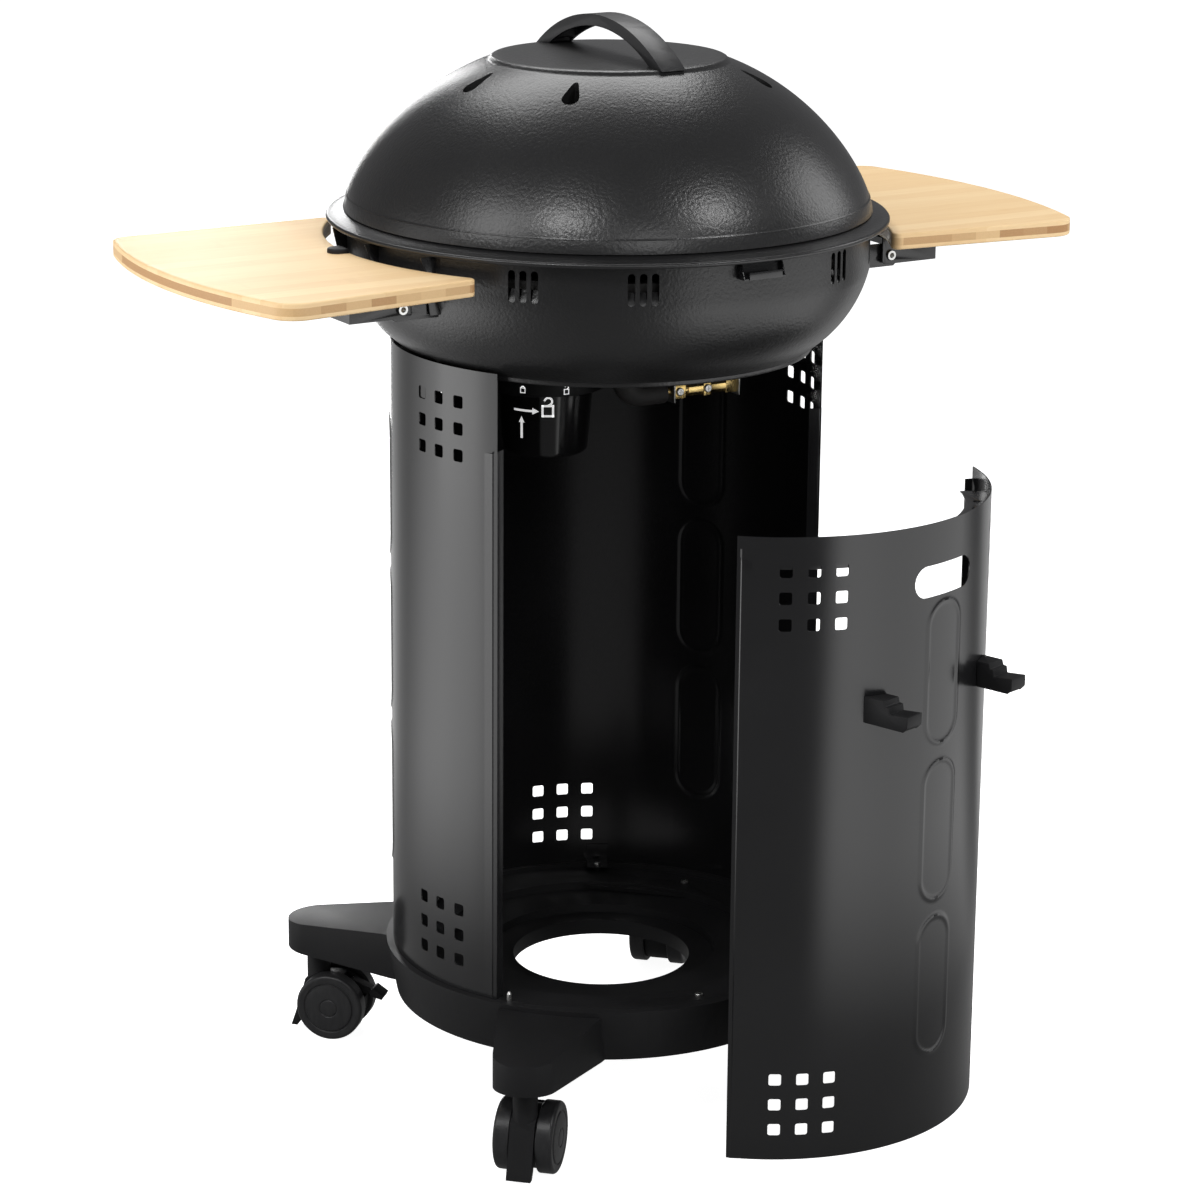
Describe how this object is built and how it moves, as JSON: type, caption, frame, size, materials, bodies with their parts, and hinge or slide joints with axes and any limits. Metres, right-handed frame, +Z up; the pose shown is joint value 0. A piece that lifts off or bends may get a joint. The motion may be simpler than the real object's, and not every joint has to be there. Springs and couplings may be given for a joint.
{
  "type": "gas kettle barbecue",
  "caption": "Round gas kettle barbecue on a sheet-steel cabinet with casters, a lift-off lid, folding bamboo side tables, a fat cup and a loose front panel.",
  "frame": {"origin": "on the floor, on the upright axis of the round cabinet, bowl and lid", "axes": "+Z up, -Y towards the open front of the cabinet, +X to the right-hand side table"},
  "size_m": [0.926, 0.6444, 1.062],
  "materials": {
    "matt_black_plastic": "fine grained moulding",
    "bright_steel": "bright zinc plated",
    "gloss_black_enamel": "glossy powder coat",
    "plated_steel": "dull galvanised sheet",
    "black_enamel": "satin hammered enamel",
    "black_cast_iron": "matt enamelled casting",
    "black_painted_steel": "satin paint",
    "brass": "machined",
    "cup_black": "satin moulding",
    "bamboo": "oiled bamboo",
    "wheel_grey": "moulded wheel"
  },
  "bodies": {
    "grill_body": {"base_moulding": "matt_black_plastic", "base_screws": "bright_steel", "locating_pins": "bright_steel", "caster_stems": "bright_steel", "left_cabinet_panel": "gloss_black_enamel", "right_cabinet_panel": "gloss_black_enamel", "cabinet_seam_strip": "plated_steel", "panel_foot_brackets": "plated_steel", "bowl_support_brackets": "plated_steel", "cabinet_screws": "bright_steel", "bowl": "black_enamel", "bowl_front_catch": "black_enamel", "grid_rests": "plated_steel", "cooking_grid": "black_cast_iron", "heat_spreader": "plated_steel", "burner_ring": "black_cast_iron", "mixing_tube": "plated_steel", "jet_bracket": "plated_steel", "jet_block": "brass", "jet_screws": "bright_steel", "gas_hose_tail": "brass", "drip_cup_collar": "cup_black", "left_table_bracket": "black_enamel", "right_table_bracket": "black_enamel", "left_hinge_rivets": "bright_steel", "right_hinge_rivets": "bright_steel"},
    "drip_cup": {"drip_cup": "cup_black"},
    "lid": {"lid_shell": "black_enamel", "lid_handle": "matt_black_plastic", "lid_handle_screws": "bright_steel"},
    "front_panel": {"front_panel_sheet": "gloss_black_enamel", "front_panel_brace": "plated_steel", "lid_hooks": "matt_black_plastic", "lid_hook_screws": "bright_steel"},
    "left_table": {"left_table_board": "bamboo", "left_table_arm": "black_painted_steel", "left_table_screws": "bright_steel", "left_table_catch": "cup_black"},
    "right_table": {"right_table_board": "bamboo", "right_table_arm": "black_painted_steel", "right_table_screws": "bright_steel", "right_table_catch": "cup_black"},
    "fl_swivel": {"fl_caster_body": "matt_black_plastic"},
    "fl_wheels": {"fl_wheel_pair": "wheel_grey", "fl_axle": "bright_steel"},
    "fl_brake": {"fl_brake_pedal": "matt_black_plastic"},
    "fr_swivel": {"fr_caster_body": "matt_black_plastic"},
    "fr_wheels": {"fr_wheel_pair": "wheel_grey", "fr_axle": "bright_steel"},
    "fr_brake": {"fr_brake_pedal": "matt_black_plastic"},
    "rl_swivel": {"rl_caster_body": "matt_black_plastic"},
    "rl_wheels": {"rl_wheel_pair": "wheel_grey", "rl_axle": "bright_steel"},
    "rl_brake": {"rl_brake_pedal": "matt_black_plastic"},
    "rr_swivel": {"rr_caster_body": "matt_black_plastic"},
    "rr_wheels": {"rr_wheel_pair": "wheel_grey", "rr_axle": "bright_steel"},
    "rr_brake": {"rr_brake_pedal": "matt_black_plastic"}
  },
  "joints": [
    {"name": "lid_lift", "type": "slide", "parent": "grill_body", "child": "lid", "axis": [0, 0, 1], "range_m": [0, 0.35]},
    {"name": "left_table_fold", "type": "hinge", "parent": "grill_body", "child": "left_table", "pos_m": [-0.2716, 0, 0.8206], "axis": [0, -1, 0], "range_deg": [0, 90]},
    {"name": "right_table_fold", "type": "hinge", "parent": "grill_body", "child": "right_table", "pos_m": [0.2716, 0, 0.8206], "axis": [0, 1, 0], "range_deg": [0, 90]},
    {"name": "drip_cup_twist", "type": "hinge", "parent": "grill_body", "child": "drip_cup", "pos_m": [-0.043, 0.043, 0.7], "axis": [0, 0, 1], "range_deg": [0, 49]},
    {"name": "front_panel_lift", "type": "slide", "parent": "grill_body", "child": "front_panel", "axis": [0, 0, 1], "range_m": [0, 0.136]},
    {"name": "fl_caster_swivel", "type": "hinge", "parent": "grill_body", "child": "fl_swivel", "pos_m": [-0.21213, -0.21213, 0.08], "axis": [0, 0, 1], "continuous": true},
    {"name": "fl_wheel_spin", "type": "hinge", "parent": "fl_swivel", "child": "fl_wheels", "pos_m": [-0.1987, -0.1987, 0.035], "axis": [0.7071, -0.7071, 0], "continuous": true},
    {"name": "fl_brake_press", "type": "hinge", "parent": "fl_swivel", "child": "fl_brake", "pos_m": [-0.18809, -0.18809, 0.052], "axis": [-0.7071, 0.7071, 0], "range_deg": [0, 10]},
    {"name": "fr_caster_swivel", "type": "hinge", "parent": "grill_body", "child": "fr_swivel", "pos_m": [0.21213, -0.21213, 0.08], "axis": [0, 0, 1], "continuous": true},
    {"name": "fr_wheel_spin", "type": "hinge", "parent": "fr_swivel", "child": "fr_wheels", "pos_m": [0.1987, -0.1987, 0.035], "axis": [0.7071, 0.7071, 0], "continuous": true},
    {"name": "fr_brake_press", "type": "hinge", "parent": "fr_swivel", "child": "fr_brake", "pos_m": [0.18809, -0.18809, 0.052], "axis": [-0.7071, -0.7071, 0], "range_deg": [0, 10]},
    {"name": "rl_caster_swivel", "type": "hinge", "parent": "grill_body", "child": "rl_swivel", "pos_m": [-0.21213, 0.21213, 0.08], "axis": [0, 0, 1], "continuous": true},
    {"name": "rl_wheel_spin", "type": "hinge", "parent": "rl_swivel", "child": "rl_wheels", "pos_m": [-0.1987, 0.1987, 0.035], "axis": [-0.7071, -0.7071, 0], "continuous": true},
    {"name": "rl_brake_press", "type": "hinge", "parent": "rl_swivel", "child": "rl_brake", "pos_m": [-0.18809, 0.18809, 0.052], "axis": [0.7071, 0.7071, 0], "range_deg": [0, 10]},
    {"name": "rr_caster_swivel", "type": "hinge", "parent": "grill_body", "child": "rr_swivel", "pos_m": [0.21213, 0.21213, 0.08], "axis": [0, 0, 1], "continuous": true},
    {"name": "rr_wheel_spin", "type": "hinge", "parent": "rr_swivel", "child": "rr_wheels", "pos_m": [0.1987, 0.1987, 0.035], "axis": [-0.7071, 0.7071, 0], "continuous": true},
    {"name": "rr_brake_press", "type": "hinge", "parent": "rr_swivel", "child": "rr_brake", "pos_m": [0.18809, 0.18809, 0.052], "axis": [0.7071, -0.7071, 0], "range_deg": [0, 10]}
  ]
}
